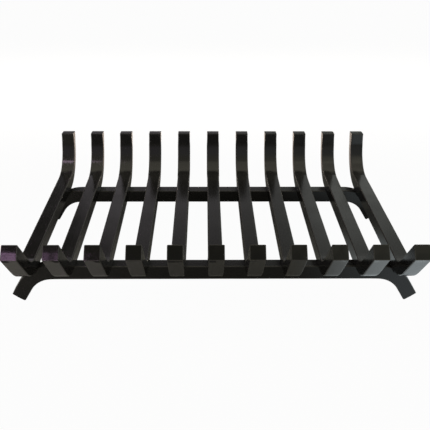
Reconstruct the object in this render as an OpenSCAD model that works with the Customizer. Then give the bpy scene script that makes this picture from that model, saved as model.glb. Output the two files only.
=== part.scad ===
// Log grate for a fireplace: a row of square bars, bent up at both ends to cradle the logs,
// welded across two square rails whose ends bend down and outward into four splayed legs.
//
// Millimetres. +Z is up and the floor is z = 0. The origin is on the floor under the middle of
// the grate's outer box. The low front ends of the bars point to -Y and the rails run along X.

/* [Bar stock] */
// Thickness of the square bar that every bar and rail is bent from
bar_size = 20; // [14:0.5:24]
// Radius of the four long edges that rolling leaves on the bar
edge_r = 1.25; // [0.5:0.25:3]
// How much bending thickens the bar on every side of a bend
bend_swell = 0.05; // [0.03:0.01:0.3]

/* [Grate bars] */
// Number of bars across the grate
bar_count = 11; // [5:1:15]
// Distance between neighbouring bars, centre to centre
bar_pitch = 50; // [40:1:70]
// Level run of a bar between its two bends
bar_run = 293; // [220:1:380]
// Angle that the front end is bent up from level
front_angle = 45; // [25:1:75]
// Radius of the front bend, to the middle of the bar
front_bend_r = 58; // [30:1:80]
// Straight length of the front end beyond its bend
front_tip = 61; // [20:1:100]
// Angle that the rear end is bent up from level
rear_angle = 88; // [50:1:90]
// Radius of the rear bend, to the middle of the bar
rear_bend_r = 55; // [30:1:80]
// Straight length of the rear end beyond its bend
rear_tip = 16; // [5:1:80]

/* [Rails and legs] */
// Distance from the front bends back to the middle of the front rail
front_rail_in = 19; // [14:1:60]
// Distance from the rear bends forward to the middle of the rear rail
rear_rail_in = 10; // [10:1:60]
// Distance from the middle of the end bar inward to where the rail starts to bend down
shoulder_in = 25.5; // [14:0.5:28]
// Angle that a leg is bent down from level
leg_angle = 59; // [45:1:80]
// Radius of a leg's bend, to the middle of the bar
leg_bend_r = 42; // [30:1:60]
// Straight length of a leg beyond its bend
leg_length = 21.5; // [10:0.5:60]
// Width of the flat that is ground on the lowest edge of each leg
foot_flat = 3; // [1:0.5:6]

/* [Welds] */
// Leg length of the weld beads under the bars
weld_leg = 5; // [3:0.5:7]
// Distance that a bead stops short of each side of its bar
weld_inset = 2; // [1.5:0.5:4]
// Distance between the ripples of a bead
weld_ripple = 2.5; // [1.5:0.25:4]

/* [Hidden] */
$fn = 48;
BAR_NAMES = [for (n = [1:bar_count]) str("bar_", n < 10 ? "0" : "", n)];
WELD_NAMES = [for (name = BAR_NAMES) str(name, "_welds")];

bar_colour = [0.13, 0.12, 0.12];
rail_colour = [0.08, 0.08, 0.08];
weld_colour = [0.2, 0.19, 0.18];

half = bar_size / 2;
last_bar = bar_count - 1;

// Heights. The floor cuts the corner off each leg's square end, which leaves the flat foot.
foot_cut = foot_flat * sin(leg_angle) * cos(leg_angle);
leg_drop = leg_bend_r * (1 - cos(leg_angle)) + leg_length * sin(leg_angle) + half * cos(leg_angle);
rail_z = leg_drop - foot_cut;
bar_underside = rail_z + half;
bar_z = bar_underside + half;

// Depth. How far a bar reaches before its front bend and behind it, and where that bend starts.
reach_front = (front_bend_r + half) * sin(front_angle) + front_tip * cos(front_angle);
reach_rear = bar_run + (rear_bend_r + half) * sin(rear_angle) + rear_tip * cos(rear_angle);
front_bend_y = (reach_front - reach_rear) / 2;
rear_bend_y = front_bend_y + bar_run;
front_rail_y = front_bend_y + front_rail_in;
rear_rail_y = rear_bend_y - rear_rail_in;
rail_ys = [front_rail_y, rear_rail_y];

// Width. The end bars stand over the shoulders of the leg bends.
end_bar_x = bar_pitch * last_bar / 2;
shoulder_x = end_bar_x - shoulder_in;
leg_outer_r = leg_bend_r + half;

// Beads: the corner beads are rows of ripples, and the end bars have a fill over each shoulder.
bead_length = bar_size - 2 * weld_inset;
ripple_run = max(0, bead_length - 2 * weld_leg);
ripple_gaps = floor(ripple_run / weld_ripple);
ripple_step = ripple_gaps > 0 ? ripple_run / ripple_gaps : 0;
fill_x = end_bar_x - half / 2;
fill_gap = leg_outer_r - sqrt(pow(leg_outer_r, 2) - pow(fill_x - shoulder_x, 2));
fill_r = fill_gap + weld_leg;

// Across the grate, where bar number i of 0 to last_bar stands
function bar_x(i) = (i - last_bar / 2) * bar_pitch;

// The rolled square section, centred, thickened on every side by swell
module bar_section(swell = 0) {
  flat = bar_size - 2 * edge_r;
  size = bar_size + 2 * swell;
  square([size, flat], center = true);
  square([flat, size], center = true);
  for (x = [-1, 1]) {
    for (y = [-1, 1]) {
      translate([x * flat / 2, y * flat / 2]) circle(r = edge_r + swell);
    }
  }
}

// A straight length of bar, from the origin along +Y
module straight_bar(length) {
  rotate([-90, 0, 0]) linear_extrude(length) bar_section();
}

// The end of a bar, from the origin along +Y: a bend upward, then a square-cut straight tip, which
// is rooted in the bend no deeper than the bend's swell covers it
module bent_end(angle, radius, tip) {
  root = sqrt(bend_swell * (radius - half));
  translate([0, 0, radius]) {
    rotate([0, 90, 0]) {
      rotate_extrude(angle = angle) translate([radius, 0]) bar_section(bend_swell);
    }
    rotate([angle, 0, 0]) translate([0, -root, -radius]) straight_bar(tip + root);
  }
}

// A bar bent at both ends: its level run starts at the origin and goes along +Y, and each end is
// given as [angle, radius, tip]
module bent_bar(run, near_end, far_end) {
  straight_bar(run);
  mirror([0, 1, 0]) bent_end(near_end[0], near_end[1], near_end[2]);
  translate([0, run, 0]) bent_end(far_end[0], far_end[1], far_end[2]);
}

// One grate bar: low sloping front end, level run, high rear end
module grate_bar(i) {
  color(bar_colour) translate([bar_x(i), front_bend_y, bar_z]) {
    bent_bar(bar_run, [front_angle, front_bend_r, front_tip], [rear_angle, rear_bend_r, rear_tip]);
  }
}

// The bar of a rail before its feet are ground: level run along X, both ends bent down as legs
module rail_bar() {
  leg = [leg_angle, leg_bend_r, leg_length];
  translate([-shoulder_x, 0, rail_z]) {
    rotate([0, 180, -90]) bent_bar(2 * shoulder_x, leg, leg);
  }
}

// One rail at depth y, with its legs ground flat where they meet the floor
module rail(y) {
  floor_block = 2 * (end_bar_x + leg_outer_r + leg_length);
  color(rail_colour) translate([0, y, 0]) difference() {
    rail_bar();
    translate([-floor_block / 2, -bar_size, -bar_size]) cube([floor_block, 2 * bar_size, bar_size]);
  }
}

// A bead in the corner under a bar, along the side face of the rail that faces +Y
module corner_bead() {
  difference() {
    intersection() {
      for (n = [0:ripple_gaps]) {
        translate([n * ripple_step - ripple_run / 2, half, bar_underside]) sphere(r = weld_leg);
      }
      translate([-half + edge_r, half - edge_r, bar_underside - weld_leg]) {
        cube([bar_size - 2 * edge_r, weld_leg + edge_r, weld_leg]);
      }
    }
    translate([-half, 0, rail_z]) rotate([0, 0, -90]) straight_bar(bar_size);
  }
}

// The fill between the underside of the right-hand end bar and the shoulder of a leg
module shoulder_fill() {
  difference() {
    intersection() {
      union() {
        translate([fill_x, -half, bar_underside]) {
          rotate([-90, 0, 0]) cylinder(h = bar_size, r = fill_r);
        }
        for (side = [-1, 1]) translate([fill_x, side * half, bar_underside]) sphere(r = fill_r);
      }
      translate([end_bar_x - half + edge_r, -bar_size - fill_r, bar_underside - fill_r]) {
        cube([bar_size - 2 * edge_r, 2 * (bar_size + fill_r), fill_r]);
      }
    }
    rail_bar();
  }
}

// All the welds of one bar: two beads at each rail, or one fill at each rail for an end bar
module bar_welds(i) {
  color(weld_colour) for (y = rail_ys) {
    translate([0, y, 0]) {
      if (i == 0) {
        mirror([1, 0, 0]) shoulder_fill();
      } else if (i == last_bar) {
        shoulder_fill();
      } else {
        translate([bar_x(i), 0, 0]) {
          corner_bead();
          mirror([0, 1, 0]) corner_bead();
        }
      }
    }
  }
}

for (i = [0:last_bar]) grate_bar(i);
rail(front_rail_y);  // front_rail
rail(rear_rail_y);  // rear_rail
for (i = [0:last_bar]) bar_welds(i);
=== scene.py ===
"""The looks of the log grate: painted bars, rails and weld beads, with a plain studio around them."""

import logging
import math
from collections.abc import Iterator
from dataclasses import dataclass, field
from enum import Enum
from functools import cached_property
from typing import Any, Union

import bmesh
import bpy
from mathutils import Matrix, Vector, noise


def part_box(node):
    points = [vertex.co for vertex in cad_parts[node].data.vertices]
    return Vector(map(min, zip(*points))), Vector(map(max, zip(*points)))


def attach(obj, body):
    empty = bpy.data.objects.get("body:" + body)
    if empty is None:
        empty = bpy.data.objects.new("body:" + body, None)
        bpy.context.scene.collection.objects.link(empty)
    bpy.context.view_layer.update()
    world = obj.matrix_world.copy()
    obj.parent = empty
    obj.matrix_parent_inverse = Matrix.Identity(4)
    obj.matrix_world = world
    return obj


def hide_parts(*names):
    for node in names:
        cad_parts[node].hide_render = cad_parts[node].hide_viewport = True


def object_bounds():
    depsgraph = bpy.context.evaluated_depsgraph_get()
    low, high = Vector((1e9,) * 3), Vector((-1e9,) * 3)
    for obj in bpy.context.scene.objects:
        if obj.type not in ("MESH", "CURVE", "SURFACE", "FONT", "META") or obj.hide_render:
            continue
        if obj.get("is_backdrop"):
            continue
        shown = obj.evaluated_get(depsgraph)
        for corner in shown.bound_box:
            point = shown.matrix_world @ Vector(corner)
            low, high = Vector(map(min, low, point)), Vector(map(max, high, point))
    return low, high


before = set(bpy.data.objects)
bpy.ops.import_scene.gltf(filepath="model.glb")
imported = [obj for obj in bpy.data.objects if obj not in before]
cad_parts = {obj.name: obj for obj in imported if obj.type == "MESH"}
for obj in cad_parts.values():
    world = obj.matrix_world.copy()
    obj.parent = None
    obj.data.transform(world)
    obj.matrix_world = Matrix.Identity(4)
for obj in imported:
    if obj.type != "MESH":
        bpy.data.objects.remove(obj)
CAD_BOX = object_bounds()

log = logging.getLogger("log_grate")

MM = 0.001
FLOW = "flow"  # per point: its place on the unbent bar, or on the bead, along it first, in metres
EDGE = "edge"  # per point: its distance from the nearest rolled or cut edge, in metres
BAR_SLOT = "bar_paint"
RAIL_SLOT = "rail_paint"
WELD_SLOT = "weld_paint"

Number = Union[float, "Value"]
Triple = tuple[float, float, float]  # a part for each of the x, y and z axes
Colour = tuple[float, float, float]  # linear red, green and blue
Edges = tuple[float, float]  # where something is absent, then where it is full


# ---------------------------------------------------------------------------- shader expressions


class Value:
    """One number socket of a node tree, which arithmetic extends with Math nodes."""

    def __init__(self, shader: "Shader", socket: bpy.types.NodeSocket) -> None:
        """Wraps an output socket that carries a number, in a shader's tree."""
        self.shader = shader
        self.socket = socket

    def _math(self, operation: str, *operands: Number) -> "Value":
        """Adds one Math node over the operands, in their order."""
        sockets = dict(enumerate(operands))
        return self.shader.value("ShaderNodeMath", {"operation": operation}, sockets)

    def __add__(self, other: Number) -> "Value":
        """self + other."""
        return self._math("ADD", self, other)

    __radd__ = __add__

    def __sub__(self, other: Number) -> "Value":
        """self - other."""
        return self._math("SUBTRACT", self, other)

    def __rsub__(self, other: Number) -> "Value":
        """other - self."""
        return self._math("SUBTRACT", other, self)

    def __mul__(self, other: Number) -> "Value":
        """self * other."""
        return self._math("MULTIPLY", self, other)

    __rmul__ = __mul__

    def __truediv__(self, other: Number) -> "Value":
        """self / other."""
        return self._math("DIVIDE", self, other)

    def __rtruediv__(self, other: Number) -> "Value":
        """other / self."""
        return self._math("DIVIDE", other, self)

    def step(self, low: float, high: float) -> "Value":
        """Smooth step from 0 at low to 1 at high, with low above high for a falling one.

        Args:
            low: Where the result is 0.
            high: Where the result is 1.

        Returns:
            The stepped value.
        """
        settings = {"interpolation_type": "SMOOTHSTEP"}
        sockets = {"Value": self, "From Min": low, "From Max": high}
        return self.shader.value("ShaderNodeMapRange", settings, sockets)


class Shader:
    """The node tree of one material or world, which starts empty."""

    def __init__(self, owner: bpy.types.Material | bpy.types.World) -> None:
        """Empties the owner's tree.

        Args:
            owner: The material or world that the tree belongs to.
        """
        owner.use_nodes = True
        self.tree = owner.node_tree
        self.tree.nodes.clear()

    def node(
        self, kind: str, settings: dict[str, Any] | None = None, sockets: dict[Any, Any] | None = None
    ) -> bpy.types.Node:
        """Adds one node.

        Args:
            kind: The node's type.
            settings: Its properties, which are set first.
            sockets: A value, or a link as a Value or an output socket, for each input's name or place.

        Returns:
            The new node.
        """
        made = self.tree.nodes.new(kind)
        for name, setting in (settings or {}).items():
            setattr(made, name, setting)
        for name, source in (sockets or {}).items():
            if isinstance(source, Value):
                source = source.socket
            if isinstance(source, bpy.types.NodeSocket):
                self.tree.links.new(source, made.inputs[name])
            else:
                made.inputs[name].default_value = source
        return made

    def value(
        self,
        kind: str,
        settings: dict[str, Any] | None = None,
        sockets: dict[Any, Any] | None = None,
        output: int | str = 0,
    ) -> Value:
        """Adds one node and wraps one of its outputs, which carries a number."""
        return Value(self, self.node(kind, settings, sockets).outputs[output])

    def axes(self, coordinates: str, names: str) -> list[Value]:
        """Parts of a Texture Coordinate output, such as the X and Y of Object.

        Args:
            coordinates: The output's name.
            names: The letters of the parts.

        Returns:
            A value for each letter.
        """
        place = self.node("ShaderNodeTexCoord").outputs[coordinates]
        parts = self.node("ShaderNodeSeparateXYZ", None, {0: place})
        return [Value(self, parts.outputs[name]) for name in names]

    def stretched(self, vector: bpy.types.NodeSocket, scale: Triple) -> bpy.types.NodeSocket:
        """The vector times a scale for each axis."""
        sockets = {0: vector, 1: scale}
        return self.node("ShaderNodeVectorMath", {"operation": "MULTIPLY"}, sockets).outputs[0]

    def mixed(self, factor: Number, first: Any, second: Any) -> bpy.types.NodeSocket:
        """A colour between first, at factor 0, and second, at factor 1."""
        sockets = {"Factor": factor, "A": first, "B": second}
        return self.node("ShaderNodeMix", {"data_type": "RGBA"}, sockets).outputs["Result"]

    def plain(self, kind: str, colour: Colour, strength: float | None = None) -> bpy.types.NodeSocket:
        """A shader of one colour, and of one strength where it gives light."""
        light = {} if strength is None else {"Strength": strength}
        return self.node(kind, None, {"Color": rgba(colour), **light}).outputs[0]

    def blend(
        self, factor: Number, first: bpy.types.NodeSocket, second: bpy.types.NodeSocket
    ) -> bpy.types.NodeSocket:
        """A shader between first, at factor 0, and second, at factor 1."""
        return self.node("ShaderNodeMixShader", None, {0: factor, 1: first, 2: second}).outputs[0]

    def rays(self) -> tuple[Value, Value]:
        """Sorts the rays that meet the surface.

        Returns:
            Whether a ray comes from the camera, and whether it was mirrored or passed through.
        """
        paths = self.node("ShaderNodeLightPath")
        kinds = ("Camera", "Glossy", "Transmission")
        camera, glossy, through = (Value(self, paths.outputs[f"Is {kind} Ray"]) for kind in kinds)
        return camera, glossy + through

    def output(self, kind: str, surface: bpy.types.NodeSocket) -> None:
        """Ends the tree with an output node of a kind."""
        self.node(kind, None, {"Surface": surface})


# ---------------------------------------------------------------------------- finishes


def rgba(colour: Colour) -> tuple[float, float, float, float]:
    """The colour with full alpha."""
    return (*colour, 1.0)


def scaled(colour: Colour, share: float) -> Colour:
    """The colour, lighter or darker."""
    return tuple(share * part for part in colour)


@dataclass(frozen=True)
class Grain:
    """A noise over a surface."""

    bumps: Triple  # about how many there are to a metre, along each axis
    detail: float = 2.0
    roughness: float = 0.5

    def over(self, shader: Shader, place: bpy.types.NodeSocket) -> Value:
        """Adds the noise to a finish.

        Args:
            shader: The finish's tree.
            place: The coordinates that the noise lies over.

        Returns:
            A value from 0 to 1.
        """
        sockets = {"Scale": 1.0, "Detail": self.detail, "Roughness": self.roughness}
        sockets["Vector"] = shader.stretched(place, self.bumps)
        return shader.value("ShaderNodeTexNoise", None, sockets, "Fac")


CLOUD = Grain((16.0, 16.0, 16.0), 3.0)  # how the film was sprayed, thicker here and thinner there
PEEL = Grain((420.0, 420.0, 420.0))  # the film's own ripples
GRIT = Grain((1900.0, 1900.0, 1900.0))  # dust in the film
DRAWN = Grain((7.0, 420.0, 420.0), 3.0, 0.6)  # what the rolls drew along the bar
PITTED = Grain((120.0, 260.0, 260.0), 4.0, 0.7)  # rust pits under the film
SAWN = Grain((0.0, 14.0, 620.0), 2.0, 0.7)  # what the saw left on a cut end


@dataclass(frozen=True)
class Paint:
    """A thin film of black stove paint over steel, with what shows through it, and a painted highlight along
    its edges.
    """

    name: str
    slot: str
    film: Colour  # the full film
    thin_film_and_highlight: Colour  # where it has run thin on an edge, made lighter as a painted highlight along every edge as well
    roughness: float
    peel: float  # height of the film's own ripples
    streaks: float = 0.0  # height of the marks that rolling drew along the bar
    pits: float = 0.04 * MM  # depth of the pits in the steel
    marks: float = 0.0  # height of the marks that a saw left across a cut end
    shine: float = 0.45  # specular level, low because the film is porous
    uneven: float = 0.32  # how much lighter and darker the film is from place to place
    cloud_shade: float = 0.7  # share of that which goes with the clouds
    drawn_shade: float = 0.9  # share of that which goes with the drawn marks
    thin_and_highlight_width: float = 0.9 * MM  # distance from an edge over which the film is thin and the painted edge highlight lies
    thin_and_highlight_edges: Edges = (1.0, -0.1)  # where thinning and the painted highlight begin and are full, in those widths
    thin_and_highlight_wander: float = 2.4  # how far the clouds move its border, in those widths
    thin_and_highlight_share: float = 0.8  # how much of the thin film's colour, with its painted highlight, shows
    pit_edges: Edges = (0.66, 0.8)  # part of the pits' noise that sinks in
    grit_share: float = 0.2  # height of the grit as a share of the ripples'
    cloud_rough: float = 0.16  # how much rougher and smoother the clouds make it
    drawn_rough: float = 0.08  # how much the drawn marks do
    thin_rough: float = 0.06  # how much rougher it is where it has run thin
    pit_rough: float = 0.12  # how much rougher it is in a pit

    def material(self) -> bpy.types.Material:
        """Builds the finish.

        Returns:
            A new material.
        """
        made = bpy.data.materials.new(self.name)
        shader = Shader(made)
        place = shader.node("ShaderNodeTexCoord").outputs["Object"]
        flow = shader.node("ShaderNodeAttribute", {"attribute_name": FLOW}).outputs["Vector"]
        edge = shader.value("ShaderNodeAttribute", {"attribute_name": EDGE}, None, "Fac")

        cloud = CLOUD.over(shader, place) - 0.5
        drawn = DRAWN.over(shader, flow) - 0.5
        grit = GRIT.over(shader, place) - 0.5
        pitted = PITTED.over(shader, flow).step(*self.pit_edges)

        # the paint run thin along the edges, which also carries a painted highlight on every edge
        thin_and_highlit = (edge / self.thin_and_highlight_width + cloud * self.thin_and_highlight_wander + grit).step(*self.thin_and_highlight_edges)
        shade = cloud * self.cloud_shade + drawn * self.drawn_shade + 0.5
        dark, light = (rgba(scaled(self.film, 1 + side * self.uneven)) for side in (-1, 1))
        film = shader.mixed(shade, dark, light)
        # lighter at the edges: thin paint there and a painted edge highlight
        colour = shader.mixed(thin_and_highlit * self.thin_and_highlight_share, film, rgba(self.thin_film_and_highlight))

        height = PEEL.over(shader, place) * self.peel + grit * (self.grit_share * self.peel)
        height = height + drawn * self.streaks - pitted * self.pits
        if self.marks:
            height = height + SAWN.over(shader, flow) * self.marks
        bump = shader.node("ShaderNodeBump", None, {"Strength": 1.0, "Distance": 1.0, "Height": height})
        varied = cloud * self.cloud_rough + drawn * self.drawn_rough
        varied = varied + thin_and_highlit * self.thin_rough + pitted * self.pit_rough
        sockets = {
            "Base Color": colour,
            "Roughness": varied + self.roughness,
            "Normal": bump.outputs[0],
            "Specular IOR Level": self.shine,
        }
        surface = shader.node("ShaderNodeBsdfPrincipled", None, sockets)
        shader.output("ShaderNodeOutputMaterial", surface.outputs[0])
        return made


class Finish(Enum):
    """Every finish on the grate."""

    # each edge colour is both paint run thin on the edges and a painted highlight along them
    BAR = Paint(
        "painted_bar", BAR_SLOT, film=(0.0135, 0.0127, 0.0122), thin_film_and_highlight=(0.050, 0.046, 0.043),
        roughness=0.2, peel=0.006 * MM, streaks=0.010 * MM,
    )
    RAIL = Paint(
        "painted_rail", RAIL_SLOT, film=(0.0110, 0.0104, 0.0103), thin_film_and_highlight=(0.040, 0.037, 0.035),
        roughness=0.26, peel=0.007 * MM, streaks=0.008 * MM,
    )
    WELD = Paint(
        "painted_weld", WELD_SLOT, film=(0.0130, 0.0122, 0.0120), thin_film_and_highlight=(0.040, 0.037, 0.036),
        roughness=0.26, peel=0.010 * MM, pits=0.05 * MM,
    )
    CUT = Paint(
        "painted_cut_end", BAR_SLOT, film=(0.0034, 0.0033, 0.0027), thin_film_and_highlight=(0.036, 0.033, 0.027),
        roughness=0.2, peel=0.010 * MM, pits=0.05 * MM, marks=0.05 * MM, shine=0.25,
    )

    def material(self) -> bpy.types.Material:
        """The finish's material, made at its first use."""
        return bpy.data.materials.get(self.value.name) or self.value.material()


# ---------------------------------------------------------------------------- meshes

Ring = list[bmesh.types.BMVert]


class Skin:
    """A closed mesh that grows ring by ring and remembers where its points lay on the unbent bar."""

    def __init__(self) -> None:
        """Starts an empty mesh."""
        self.mesh = bmesh.new()
        self.flow = self.mesh.verts.layers.float_vector.new(FLOW)
        self.edge = self.mesh.verts.layers.float.new(EDGE)

    def point(self, place: Vector, flow: Vector, edge: float) -> bmesh.types.BMVert:
        """Adds a point.

        Args:
            place: Where it is.
            flow: Where it was before the bar was bent: along, across and toward the bends' inside.
            edge: Its distance from the nearest rolled or cut edge.

        Returns:
            The new point.
        """
        made = self.mesh.verts.new(place)
        made[self.flow] = flow
        made[self.edge] = edge
        return made

    def bridge(self, first: Ring, second: Ring, finish: int = 0) -> None:
        """Joins two rings of as many points with a band of faces.

        Args:
            first: The earlier ring.
            second: The later ring.
            finish: Place of the band's material.
        """
        for here in range(len(first)):
            after = (here + 1) % len(first)
            face = self.mesh.faces.new((first[here], first[after], second[after], second[here]))
            face.material_index = finish

    def fan(self, ring: Ring, middle: bmesh.types.BMVert, finish: int = 0) -> None:
        """Closes a ring with triangles to a point in its middle.

        Args:
            ring: The ring.
            middle: The point.
            finish: Place of the triangles' material.
        """
        for here in range(len(ring)):
            face = self.mesh.faces.new((ring[here], ring[(here + 1) % len(ring)], middle))
            face.material_index = finish

    def piece(self, name: str, body: str, node: str, finishes: list[Finish]) -> bpy.types.Object:
        """Turns the mesh into a piece that stands for a node.

        Args:
            name: The piece's name.
            body: The body that it rides on.
            node: The node that it replaces.
            finishes: Its finishes, in the order of the faces' places.

        Returns:
            The new object.
        """
        bmesh.ops.recalc_face_normals(self.mesh, faces=self.mesh.faces[:])
        for face in self.mesh.faces:
            face.smooth = True
        data = bpy.data.meshes.new(name)
        self.mesh.to_mesh(data)
        self.mesh.free()
        for finish in finishes:
            data.materials.append(finish.material())
        made = bpy.data.objects.new(name, data)
        bpy.context.scene.collection.objects.link(made)
        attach(made, body)
        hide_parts(node)
        log.info("%s: %d points, stands for %s", name, len(data.vertices), node)
        return made


# ---------------------------------------------------------------------------- bars and rails


def bar_nodes() -> list[str]:
    """The grate bars' nodes, from left to right."""
    names = (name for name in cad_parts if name.startswith("bar_"))
    return sorted(name for name in names if not name.endswith("_welds"))


def middle_x(node: str) -> float:
    """Where the middle of a node's box is across the grate."""
    low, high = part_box(node)
    return (low[0] + high[0]) / 2


def eased(share: float) -> float:
    """A share from 0 to 1 that starts and ends gently."""
    held = min(max(share, 0.0), 1.0)
    return held * held * (3 - 2 * held)


@dataclass(frozen=True)
class Stock:
    """The hot-rolled square bar that every bar and rail is bent from."""

    edge_radius: float = 1.25 * MM
    swell: float = 0.05 * MM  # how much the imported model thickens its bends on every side
    cut_round: float = 0.7 * MM  # rounding of a cut end's edges
    cut_rough: float = 0.35 * MM  # how uneven a cut end is
    cut_slope: float = 0.1  # how far the blade's exit side of a cut end falls back
    cut_grain: float = 90.0  # about how many bumps there are to a metre of a cut end
    wave: float = 0.04 * MM  # how uneven rolling left the faces
    wave_grain: float = 31.0  # about how many waves there are to a metre of a face
    spread: float = 0.35  # share of a bend's squeeze that goes into the bar's width
    corner_steps: int = 5
    hem: float = 0.5 * MM  # distance from an edge to the points that keep the flats flat

    @cached_property
    def size(self) -> float:
        """Thickness of the straight bar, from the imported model."""
        low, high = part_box(bar_nodes()[0])
        return high[0] - low[0] - 2 * self.swell

    @property
    def half(self) -> float:
        """Half the thickness."""
        return self.size / 2

    def outline(self, inset: float) -> list[tuple[float, float, float]]:
        """Points round the section, drawn in by an inset.

        Args:
            inset: How far the outline lies inside the full section.

        Returns:
            The points, each across, toward the inside, and its distance from the nearest edge.
        """
        flat = self.half - self.edge_radius
        radius = self.edge_radius - inset
        offsets = (-flat + self.hem, -flat / 2, 0.0, flat / 2, flat - self.hem)
        quarter = [(flat + radius, offset, flat - abs(offset)) for offset in offsets]
        for count in range(self.corner_steps + 1):
            angle = count / self.corner_steps * math.pi / 2
            quarter.append((flat + radius * math.cos(angle), flat + radius * math.sin(angle), 0.0))
        points = []
        for turn in range(4):
            cosine, sine = math.cos(turn * math.pi / 2), math.sin(turn * math.pi / 2)
            for across, inner, edge in quarter:
                points.append((across * cosine - inner * sine, across * sine + inner * cosine, edge))
        return points


@dataclass(frozen=True)
class BentEnd:
    """One end of a bar: a bend toward the inside, then a straight tip."""

    angle: float  # degrees
    radius: float
    tip: float

    @property
    def arc(self) -> float:
        """Length of the bend, along the middle of the bar."""
        return self.radius * math.radians(self.angle)

    @property
    def reach(self) -> float:
        """How far the end stands out beyond the run."""
        turn = math.radians(self.angle)
        return self.radius * math.sin(turn) + self.tip * math.cos(turn)


@dataclass
class BentBar:
    """A square bar that is bent at both ends toward the same side."""

    stock: Stock
    run: float
    near: BentEnd
    far: BentEnd
    placing: Matrix  # takes across, along the run and toward the inside to the grate
    seed: float = 0.0
    seed_spread: float = 3.0  # keeps the seeds of two bars' cut ends apart
    ring_step: float = 12.0 * MM
    bend_step: float = 2.5  # degrees between the rings of a bend
    fade: float = 7.0 * MM  # length over which a bend's spread begins and ends
    round_steps: int = 4
    cap_shares: tuple[float, ...] = (0.93, 0.66, 0.33)  # sizes of the loops in a cut end

    def parts(self) -> list[tuple[float, float]]:
        """Lists the parts of the bar, from its near tip to its far one.

        Returns:
            The length and the curvature of each.
        """
        near, far = self.near, self.far
        bends = (near.arc, 1 / near.radius), (far.arc, 1 / far.radius)
        return [(near.tip, 0.0), bends[0], (self.run, 0.0), bends[1], (far.tip, 0.0)]

    @cached_property
    def length(self) -> float:
        """Length of the unbent bar."""
        return sum(length for length, _ in self.parts())

    @cached_property
    def start(self) -> tuple[float, float]:
        """Where the run begins, in the terms of at."""
        return self.at(self.near.tip + self.near.arc)[:2]

    def at(self, along: float) -> tuple[float, float, float]:
        """Where the middle of the bar is, with the near tip's end at the origin.

        Args:
            along: Distance from the near tip's end.

        Returns:
            The distance in the run's direction, the one toward the bends' inside, and the heading.
        """
        ahead, inner, heading = 0.0, 0.0, -math.radians(self.near.angle)
        for length, curve in self.parts():
            part = min(max(along, 0.0), length)
            if curve:
                turned = heading + curve * part
                ahead += (math.sin(turned) - math.sin(heading)) / curve
                inner -= (math.cos(turned) - math.cos(heading)) / curve
                heading = turned
            else:
                ahead += part * math.cos(heading)
                inner += part * math.sin(heading)
            along -= length
        return ahead, inner, heading

    def curvature(self, along: float) -> float:
        """Curvature of the bar, faded in and out at the ends of each bend.

        Args:
            along: Distance from the near tip's end.

        Returns:
            The curvature, in radians a metre.
        """
        total, start = 0.0, 0.0
        for length, curve in self.parts():
            rise = (along - start + self.fade) / (2 * self.fade)
            fall = (start + length + self.fade - along) / (2 * self.fade)
            total += curve * eased(rise) * eased(fall)
            start += length
        return total

    def ring_places(self) -> list[float]:
        """Places the full rings between the two cut ends.

        Returns:
            Their distances from the near tip's end.
        """
        first = self.stock.cut_round + self.stock.hem
        places, start = [], 0.0
        for length, curve in self.parts():
            step = math.radians(self.bend_step) / curve if curve else self.ring_step
            count = max(1, math.ceil(length / step))
            places += [start + length * number / count for number in range(count)]
            start += length
        clear = first + self.stock.hem
        inside = [place for place in places if clear < place < self.length - clear]
        return [first, *inside, self.length - first]

    def cut_back(self, along: float, across: float, inner: float) -> float:
        """Moves a point near a cut end in, where the cut is uneven or falls back.

        Args:
            along: Distance from the near tip's end.
            across: Distance from the bar's middle, across.
            inner: Distance from the bar's middle, toward the bends' inside.

        Returns:
            The new distance from the near tip's end.
        """
        stock = self.stock
        zone = stock.cut_round + stock.hem
        end = min(along, self.length - along)
        if end >= zone:
            return along
        side = -1 if along > self.length / 2 else 1
        own = self.seed * self.seed_spread + side
        rough = 0.5 + 0.5 * noise.noise(Vector((own, across * stock.cut_grain, inner * stock.cut_grain)))
        depth = stock.cut_rough * max(0.0, rough) + stock.cut_slope * max(0.0, -inner)
        return along + side * (1 - end / zone) * depth

    def point(
        self, skin: Skin, along: float, across: float, inner: float, edge: float
    ) -> bmesh.types.BMVert:
        """Adds the point that was at a place of the bar before it was bent.

        Args:
            skin: The bar's mesh.
            along: Distance from the near tip's end.
            across: Distance from the bar's middle, across.
            inner: Distance from the bar's middle, toward the bends' inside.
            edge: Distance from the nearest edge.

        Returns:
            The new point.
        """
        stock = self.stock
        flow = Vector((along + self.seed, across, inner))
        wave = 1 + stock.wave / stock.half * noise.noise(flow * stock.wave_grain)
        along = self.cut_back(along, across, inner)
        ahead, rise, heading = self.at(along)
        ahead -= self.start[0]
        rise -= self.start[1]
        width = across * wave * (1 + stock.spread * self.curvature(along) * inner)
        depth = inner * wave
        place = Vector((width, ahead - depth * math.sin(heading), rise + depth * math.cos(heading)))
        return skin.point(self.placing @ place, flow, edge)

    def skin(self) -> Skin:
        """Builds the bar's mesh.

        Returns:
            The mesh, whose cut ends have the second finish.
        """
        skin = Skin()
        stock, total = self.stock, self.length
        rounded = []
        for count in range(self.round_steps + 1):
            turn = count / self.round_steps * math.pi / 2
            rounded.append((stock.cut_round * (1 - math.cos(turn)), stock.cut_round * (1 - math.sin(turn))))
        sections = rounded + [(along, 0.0) for along in self.ring_places()]
        sections += [(total - along, inset) for along, inset in reversed(rounded)]
        rings = []
        for along, inset in sections:
            # distance from the cut end, which bounds the edge distance and so the thin paint and painted
            # highlight at a cut end's rim
            cut_end_distance = max(0.0, min(along, total - along) - stock.cut_round)
            ring = []
            for across, inner, edge in stock.outline(inset):
                ring.append(self.point(skin, along, across, inner, min(edge, cut_end_distance)))
            rings.append(ring)
        for first, second in zip(rings, rings[1:]):
            skin.bridge(first, second)
        self.close(skin, 0.0, rings[0])
        self.close(skin, total, rings[-1])
        return skin

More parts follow.
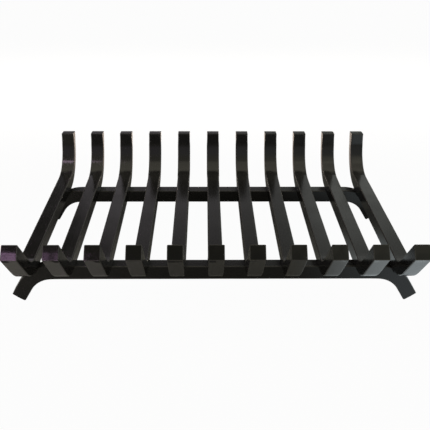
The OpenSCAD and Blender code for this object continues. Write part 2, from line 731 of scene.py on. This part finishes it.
    def close(self, skin: Skin, along: float, last: Ring) -> None:
        """Closes a cut end with smaller and smaller loops.

        Args:
            skin: The bar's mesh.
            along: The end's distance from the near tip's end.
            last: The ring round the end.
        """
        outline = self.stock.outline(self.stock.cut_round)
        for share in self.cap_shares:
            edge = self.stock.half * (1 - share)
            loop = []
            for across, inner, _ in outline:
                loop.append(self.point(skin, along, across * share, inner * share, edge))
            skin.bridge(last, loop, 1)
            last = loop
        skin.fan(last, self.point(skin, along, 0.0, 0.0, self.stock.half), 1)


@dataclass
class GrateBars:
    """The row of bars that cradles the logs, all bent alike."""

    stock: Stock = field(default_factory=Stock)
    body: str = "root"
    run: float = 293.0 * MM
    front: BentEnd = BentEnd(45.0, 58.0 * MM, 61.0 * MM)
    rear: BentEnd = BentEnd(88.0, 55.0 * MM, 16.0 * MM)
    first_seed: float = 1.0

    @property
    def underside(self) -> float:
        """Height of the bars' level undersides."""
        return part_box(bar_nodes()[0])[0][2] + self.stock.swell

    def build(self) -> None:
        """Builds every bar over its node."""
        half = self.stock.half
        front_reach = self.front.reach + half * math.sin(math.radians(self.front.angle))
        for number, node in enumerate(bar_nodes()):
            corner = Vector((middle_x(node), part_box(node)[0][1] + front_reach, self.underside + half))
            placing = Matrix.Translation(corner)
            bar = BentBar(self.stock, self.run, self.front, self.rear, placing, self.first_seed + number)
            bar.skin().piece(f"{node}_steel", self.body, node, [Finish.BAR, Finish.CUT])


@dataclass
class Rails:
    """The two rails across the grate, whose ends bend down and outward into the legs."""

    stock: Stock = field(default_factory=Stock)
    body: str = "root"
    nodes: tuple[str, str] = ("front_rail", "rear_rail")
    leg: BentEnd = BentEnd(59.0, 42.0 * MM, 21.5 * MM)
    shoulder_in: float = 25.5 * MM  # from the end bar's middle to where the rail bends down
    foot_round: float = 0.4 * MM
    foot_segments: int = 2
    floor_slack: float = 1e-7  # how far off the floor a point still counts as on it
    first_seed: float = 20.0

    def middle(self, node: str) -> Vector:
        """The middle of a rail's level run."""
        low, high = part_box(node)
        return Vector((0.0, (low[1] + high[1]) / 2, high[2] - self.stock.swell - self.stock.half))

    @property
    def run_half(self) -> float:
        """Half the level run, which ends inside the end bars."""
        return middle_x(bar_nodes()[-1]) - self.shoulder_in

    def grind(self, mesh: bmesh.types.BMesh) -> None:
        """Grinds the corners of the legs flat where they meet the floor.

        Args:
            mesh: The rail's mesh, which is changed.
        """
        everything = mesh.verts[:] + mesh.edges[:] + mesh.faces[:]
        floor = {"plane_co": (0, 0, 0), "plane_no": (0, 0, 1), "dist": self.floor_slack}
        cut = bmesh.ops.bisect_plane(mesh, geom=everything, clear_inner=True, **floor)
        edges = [item for item in cut["geom_cut"] if isinstance(item, bmesh.types.BMEdge)]
        for face in bmesh.ops.holes_fill(mesh, edges=edges, sides=0)["faces"]:
            face.material_index = 1
        rounding = {"offset": self.foot_round, "segments": self.foot_segments, "clamp_overlap": True}
        bmesh.ops.bevel(mesh, geom=edges, affect="EDGES", profile=0.5, **rounding)
        for point in mesh.verts:
            point.co.z = max(0.0, point.co.z)

    def build(self) -> None:
        """Builds both rails over their nodes."""
        turned = Matrix(((0, 1, 0, 0), (1, 0, 0, 0), (0, 0, -1, 0), (0, 0, 0, 1)))
        for number, node in enumerate(self.nodes):
            start = self.middle(node) - Vector((self.run_half, 0, 0))
            placing, seed = Matrix.Translation(start) @ turned, self.first_seed + number
            skin = BentBar(self.stock, 2 * self.run_half, self.leg, self.leg, placing, seed).skin()
            self.grind(skin.mesh)
            skin.piece(f"{node}_steel", self.body, node, [Finish.RAIL, Finish.CUT])


# ---------------------------------------------------------------------------- welds


@dataclass(frozen=True)
class Bead:
    """A rippled ridge of weld along a bar's underside, sunk in the steel behind it."""

    middle: Vector
    course: Vector  # the direction in which it was laid
    outward: Vector
    length: float
    inner: float  # how far it reaches into the rail
    outer: float  # how far it stands out from the rail along the underside
    depth: float
    ripple: float = 2.4 * MM
    bow: float = 0.45  # how far a ripple bows ahead in its middle, in ripples
    relief: float = 0.07  # depth of the ripples as a share of the bead's size
    uneven: float = 0.05  # how much its size wanders, as a share
    shaken: float = 0.6  # how much its ripples wander, in radians
    shake_grain: float = 260.0  # about how many such wanderings there are to a metre
    least: float = 0.02  # square of the size at its very ends, as a share
    crown: float = 0.9  # width of its upper side as a share of its size
    round_steps: int = 12
    sink: float = 0.4 * MM  # how deep its upper side lies in the bar
    ring_step: float = 0.55 * MM

    def point(self, skin: Skin, along: float, out: float, up: float, seed: float) -> bmesh.types.BMVert:
        """Adds one point of the bead."""
        place = self.middle + self.course * along + self.outward * out + Vector((0, 0, up))
        return skin.point(place, Vector((along + seed, out, up)), self.depth)

    def ring(self, skin: Skin, along: float, seed: float) -> Ring:
        """Adds one ring across the bead.

        Args:
            skin: The mesh.
            along: The ring's distance from the bead's middle.
            seed: What makes this bead differ from the others.

        Returns:
            The ring's points.
        """
        taper = max(0.0, abs(along) - self.length / 2 + self.depth) / self.depth
        size = math.sqrt(max(self.least, 1 - taper * taper))
        ring = []
        for step in range(self.round_steps + 1):
            angle = math.pi * step / self.round_steps
            bow = self.bow * math.sin(angle) * self.ripple
            wander = noise.noise(Vector((seed, along * self.shake_grain, angle)))
            scallop = abs(math.sin(math.pi * (along + bow) / self.ripple + self.shaken * wander))
            scale = size * (1 - self.relief * (1 - scallop) + self.uneven * wander)
            side = -self.inner if math.cos(angle) > 0 else self.outer
            out = side * abs(math.cos(angle)) * scale
            ring.append(self.point(skin, along, out, -self.depth * math.sin(angle) * scale, seed))
        for side in (self.outer, -self.inner):
            ring.append(self.point(skin, along, self.crown * side * size, self.sink, seed))
        return ring

    def add(self, skin: Skin, seed: float) -> None:
        """Adds the bead to a mesh.

        Args:
            skin: The mesh.
            seed: What makes this bead differ from the others.
        """
        count = math.ceil(self.length / self.ring_step)
        rings = [self.ring(skin, self.length * (number / count - 0.5), seed) for number in range(count + 1)]
        for first, second in zip(rings, rings[1:]):
            skin.bridge(first, second)
        for ring in (rings[0], rings[-1]):
            middle = sum((point.co for point in ring), Vector()) / len(ring)
            skin.fan(ring, skin.point(middle, ring[0][skin.flow], self.depth))


@dataclass
class Welds:
    """The beads that hold the bars down on the rails."""

    bars: GrateBars
    rails: Rails
    leg: float = 5.0 * MM
    inset: float = 2.0 * MM  # how far a bead stops short of each side of its bar
    fill_in: float = 1 / 2  # how far a fill's middle lies inside the bar's, in halves of the bar
    fill_root: float = 1 / 3  # how far a fill reaches inward, in halves of the bar
    first_seed: float = 40.0
    bead_seed: float = 0.3
    row_seed: float = 0.1

    def corner_beads(self, x: float, y: float) -> Iterator[Bead]:
        """The two beads where a bar crosses a rail.

        Args:
            x: The bar's place.
            y: The rail's place.

        Yields:
            The bead in front of the rail, then the one behind it.
        """
        stock = self.bars.stock
        length = 2 * (stock.half - self.inset)
        for side in (-1, 1):
            middle = Vector((x, y + side * stock.half, self.bars.underside))
            outward = Vector((0, side, 0))
            yield Bead(middle, Vector((1, 0, 0)), outward, length, stock.edge_radius, self.leg, self.leg)

    def shoulder_fill(self, x: float, y: float) -> Iterator[Bead]:
        """The fill between an end bar and the shoulder of a leg, which falls away under the bar.

        Args:
            x: The bar's place.
            y: The rail's place.

        Yields:
            The one fill.
        """
        half = self.bars.stock.half
        away = math.copysign(1, x)
        outer_radius = self.rails.leg.radius + half
        fill_x = abs(x) - half * self.fill_in
        gap = outer_radius - math.sqrt(outer_radius**2 - (fill_x - self.rails.run_half) ** 2)
        size = gap + self.leg
        middle = Vector((away * fill_x, y, self.bars.underside))
        course, outward = Vector((0, 1, 0)), Vector((away, 0, 0))
        yield Bead(middle, course, outward, 2 * (half + size), half * self.fill_root, size, size)

    def build(self) -> None:
        """Builds every weld over its node."""
        nodes = bar_nodes()
        for number, node in enumerate(nodes):
            kind = self.shoulder_fill if node in (nodes[0], nodes[-1]) else self.corner_beads
            skin = Skin()
            for row, rail in enumerate(self.rails.nodes):
                seed = self.first_seed + number + self.row_seed * row
                for place, bead in enumerate(kind(middle_x(node), self.rails.middle(rail).y)):
                    bead.add(skin, seed + self.bead_seed * place)
            skin.piece(f"{node}_beads", self.bars.body, f"{node}_welds", [Finish.WELD])


# ---------------------------------------------------------------------------- studio


@dataclass(frozen=True)
class Softbox:
    """A rectangular soft lamp."""

    name: str
    place: Triple
    size: tuple[float, float]
    radiance: float
    tint: Colour = (1.0, 1.0, 1.0)
    aim: Triple = (0.0, 0.0, 0.06)
    spread: float = 180.0  # degrees

    def light(self) -> None:
        """Hangs the lamp and aims it."""
        data = bpy.data.lights.new(self.name, "AREA")
        data.shape = "RECTANGLE"
        data.size, data.size_y = self.size
        data.energy = self.radiance * math.pi * self.size[0] * self.size[1]
        data.color = self.tint
        data.spread = math.radians(self.spread)
        made = bpy.data.objects.new(self.name, data)
        made.location = self.place
        made.rotation_euler = (Vector(self.aim) - Vector(self.place)).to_track_quat("-Z", "Y").to_euler()
        bpy.context.scene.collection.objects.link(made)
        log.info("%s: lamp", self.name)


@dataclass(frozen=True)
class Patch:
    """A patch of the floor with soft edges."""

    across: tuple[float, float, float, float]  # along x: where it begins, is full, fades and ends
    back: tuple[float, float, float, float]  # the same along y

    def mask(self, x: Value, y: Value) -> Value:
        """How much of the patch there is at a point of the floor.

        Args:
            x: The point's place across.
            y: The point's place toward the back.

        Returns:
            From 0 outside the patch to 1 in its middle.
        """
        wide = x.step(*self.across[:2]) * x.step(*self.across[:1:-1])
        deep = y.step(*self.back[:2]) * y.step(*self.back[:1:-1])
        return wide * deep


@dataclass(frozen=True)
class Sheen(Patch):
    """A patch that is light in what the steel mirrors, and isn't otherwise seen."""

    tint: Colour
    share: float


@dataclass(frozen=True)
class Glow:
    """A part of the sky with soft edges, given as parts of the direction in which it is seen."""

    strength: float
    across: Edges | None = None  # along the direction's x
    back: Edges | None = None  # along its y
    up: Edges | None = None  # along its z
    lean: float = 0.0  # how far it leans to the right as it rises
    hinge: float = 0.4  # the z at which its lean begins

    def seen(self, x: Value, y: Value, z: Value) -> Value:
        """How bright this part of the sky is in a direction.

        Args:
            x: The direction's part across.
            y: Its part toward the back.
            z: Its part upward.

        Returns:
            The brightness.
        """
        if self.lean:
            x = x - (z - self.hinge) * self.lean
        sides = ((x, self.across), (y, self.back), (z, self.up))
        return math.prod((axis.step(*edges) for axis, edges in sides if edges), start=self.strength)


@dataclass(frozen=True)
class Studio:
    """A pale floor, a sky with pale panels at the back, and soft lamps."""

    floor_size: float = 12.0
    floor_drop: float = 0.2 * MM
    floor_colour: Colour = (0.43, 0.42, 0.38)
    painted_shadow_colour: Colour = (0.175, 0.17, 0.155)  # the floor under the grate, darkened as a painted shadow of the grate
    # where the painted shadow lies, under the grate
    painted_shadow_patch: Patch = Patch((-0.4, -0.25, 0.25, 0.4), (-0.05, 0.16, 0.36, 0.5))
    camera_white: float = 0.97  # share of the floor that the camera sees as plain white
    gloss_white: float = 0.02  # the same for what the steel mirrors
    sheens: tuple[Sheen, ...] = (  # behind the grate, in front on the left and in front on the right
        Sheen((-0.6, -0.4, 0.4, 0.6), (0.34, 0.44, 3.0, 4.0), (1.0, 0.8, 0.7), 0.42),
        Sheen((-1.2, -0.7, -0.24, -0.05), (-0.7, -0.4, -0.05, 0.12), (1.0, 0.97, 0.9), 0.1),
        Sheen((0.1, 0.3, 0.7, 1.2), (-0.7, -0.4, -0.05, 0.12), (0.86, 0.96, 1.0), 0.9),
    )
    brightest: float = 1.6  # what the sky never goes beyond
    sky: tuple[Glow, ...] = (  # in front, low at the back, overhead, and high in front on the right
        Glow(0.33, back=(0.1, -0.3), up=(0.9, 0.55)),
        Glow(0.3, back=(-0.3, 0.1), up=(0.28, 0.2)),
        Glow(0.33, up=(0.52, 0.95)),
        Glow(0.8, across=(0.08, 0.22), back=(-0.1, -0.4), up=(0.6, 0.8)),
    )
    panels: tuple[Glow, ...] = (  # what the level tops of the bars mirror, from left to right
        Glow(0.68, across=(-0.16, -0.142), lean=0.6),
        Glow(-0.26, across=(-0.13, -0.08)),
        Glow(-0.05, across=(0.0, 0.05)),
        Glow(0.5, across=(0.11, 0.17)),
        Glow(-0.26, across=(0.2, 0.26)),
    )
    panels_back: Edges = (0.0, 0.4)
    panels_foot: Edges = (0.3, 0.345)
    panels_top: Edges = (0.5, 0.36)
    panels_dim: float = 0.12  # share of the panels' light above their top
    left_tint: Colour = (1.0, 0.93, 1.0)
    right_tint: Colour = (0.96, 1.0, 0.94)
    right_edges: Edges = (-0.1, 0.2)  # where the left tint turns into the right one, along x
    high_tint: Colour = (1.0, 0.97, 0.78)
    high_edges: Edges = (0.5, 0.8)  # where both turn into the high one, along z
    lamps: tuple[Softbox, ...] = (
        Softbox("overhead", (0.0, 0.35, 2.2), (1.6, 2.2), 0.5, (1.0, 0.94, 0.76)),
        Softbox("left_low", (-1.0, -0.3, 0.5), (0.7, 0.5), 1.4, (1.0, 0.94, 0.84)),
        Softbox("right_low", (1.0, -0.3, 0.5), (0.7, 0.5), 1.8, (0.82, 0.95, 1.0)),
        Softbox(
            "left_rear", (-0.46, -0.15, 1.0), (0.16, 0.12), 0.14, (1.0, 0.72, 1.0),
            aim=(-0.25, 0.2, 0.09), spread=24.0,
        ),
        Softbox(
            "left_front", (-0.52, -0.83, 0.88), (0.18, 0.12), 0.13, (1.0, 0.6, 1.0),
            aim=(-0.25, -0.21, 0.12), spread=18.0,
        ),
        Softbox(
            "backdrop", (0.0, 1.0, 1.9), (1.6, 0.3), 14.0, (1.0, 0.88, 0.82),
            aim=(0.0, 1.0, 0.0), spread=34.0,
        ),
    )

    def floor_material(self) -> bpy.types.Material:
        """Makes the floor's finish, which looks white, keeps the grate's shadow and has a painted shadow
        under the grate.

        Returns:
            A new material.
        """
        made = bpy.data.materials.new("pale_floor")
        shader = Shader(made)
        x, y = shader.axes("Object", "XY")
        camera, mirrored = shader.rays()
        pale = shader.plain("ShaderNodeBsdfDiffuse", self.floor_colour)
        # painted shadow: a darker floor under the grate
        painted_shadow = shader.plain("ShaderNodeBsdfDiffuse", self.painted_shadow_colour)
        seen = shader.blend(self.painted_shadow_patch.mask(x, y), pale, painted_shadow)
        for sheen in self.sheens:
            shine = shader.plain("ShaderNodeEmission", sheen.tint, 1.0)
            seen = shader.blend(mirrored * sheen.mask(x, y) * sheen.share, seen, shine)
        white = shader.plain("ShaderNodeEmission", (1.0, 1.0, 1.0), 1.0)
        whitened = camera * self.camera_white + mirrored * self.gloss_white
        shader.output("ShaderNodeOutputMaterial", shader.blend(whitened, seen, white))
        return made

    def floor(self) -> None:
        """Lays the floor."""
        mesh = bmesh.new()
        bmesh.ops.create_grid(mesh, x_segments=1, y_segments=1, size=self.floor_size / 2)
        data = bpy.data.meshes.new("floor")
        mesh.to_mesh(data)
        mesh.free()
        data.materials.append(self.floor_material())
        made = bpy.data.objects.new("floor", data)
        made.location.z = -self.floor_drop
        bpy.context.scene.collection.objects.link(made)
        made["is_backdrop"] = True
        log.info("floor: staged")

    def world(self) -> None:
        """Puts up the sky, which the camera sees as plain white."""
        world = bpy.data.worlds.new("studio")
        bpy.context.scene.world = world
        shader = Shader(world)
        x, y, z = shader.axes("Generated", "XYZ")
        camera, mirrored = shader.rays()

        fading = z.step(*self.panels_top) * (1 - self.panels_dim) + self.panels_dim
        panels = sum(panel.seen(x, y, z) for panel in self.panels)
        panels = panels * fading * z.step(*self.panels_foot) * y.step(*self.panels_back)
        bright = panels + sum(glow.seen(x, y, z) for glow in self.sky)

        tints = (self.left_tint, self.right_tint, self.high_tint)
        left, right, high = (shader.plain("ShaderNodeBackground", tint, self.brightest) for tint in tints)
        low = shader.blend(x.step(*self.right_edges), left, right)
        tinted = shader.blend(z.step(*self.high_edges), low, high)
        dark = shader.plain("ShaderNodeBackground", (0.0, 0.0, 0.0), 0.0)
        white = shader.plain("ShaderNodeBackground", (1.0, 1.0, 1.0), 1.0)
        lit = shader.blend(bright / self.brightest, dark, tinted)
        shader.output("ShaderNodeOutputWorld", shader.blend(camera + mirrored * self.gloss_white, lit, white))

    def build(self) -> None:
        """Sets up the floor, the sky and the lamps."""
        self.floor()
        self.world()
        for lamp in self.lamps:
            lamp.light()


@dataclass(frozen=True)
class Viewpoint:
    """The camera, at the photograph's viewing angle."""

    place: Triple = (-0.0144, -1.0036, 0.5341)
    down: float = 24.71  # degrees below level
    right: float = 0.89  # degrees to the right of straight ahead
    roll: float = 0.32
    lens: float = 61.53

    def build(self) -> None:
        """Makes the scene's camera."""
        data = bpy.data.cameras.new("camera")
        data.lens = self.lens
        made = bpy.data.objects.new("camera", data)
        made.location = self.place
        heading = Matrix.Rotation(math.radians(-self.right), 3, "Z")
        tilt = Matrix.Rotation(math.radians(90 - self.down), 3, "X")
        roll = Matrix.Rotation(math.radians(self.roll), 3, "Z")
        made.rotation_euler = (heading @ tilt @ roll).to_euler()
        bpy.context.scene.collection.objects.link(made)
        bpy.context.scene.camera = made


def main() -> None:
    """Builds the grate, then the studio."""
    logging.basicConfig(level=logging.INFO, format="%(name)s: %(message)s")
    bars = GrateBars()
    rails = Rails()
    bars.build()
    rails.build()
    Welds(bars, rails).build()
    Studio().build()
    Viewpoint().build()
    bpy.context.scene.view_settings.view_transform = "Standard"
    boxes = {"cad": CAD_BOX, "visual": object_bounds()}
    sizes = {name: [list(corner) for corner in box] for name, box in boxes.items()}


if __name__ == "__main__":
    main()
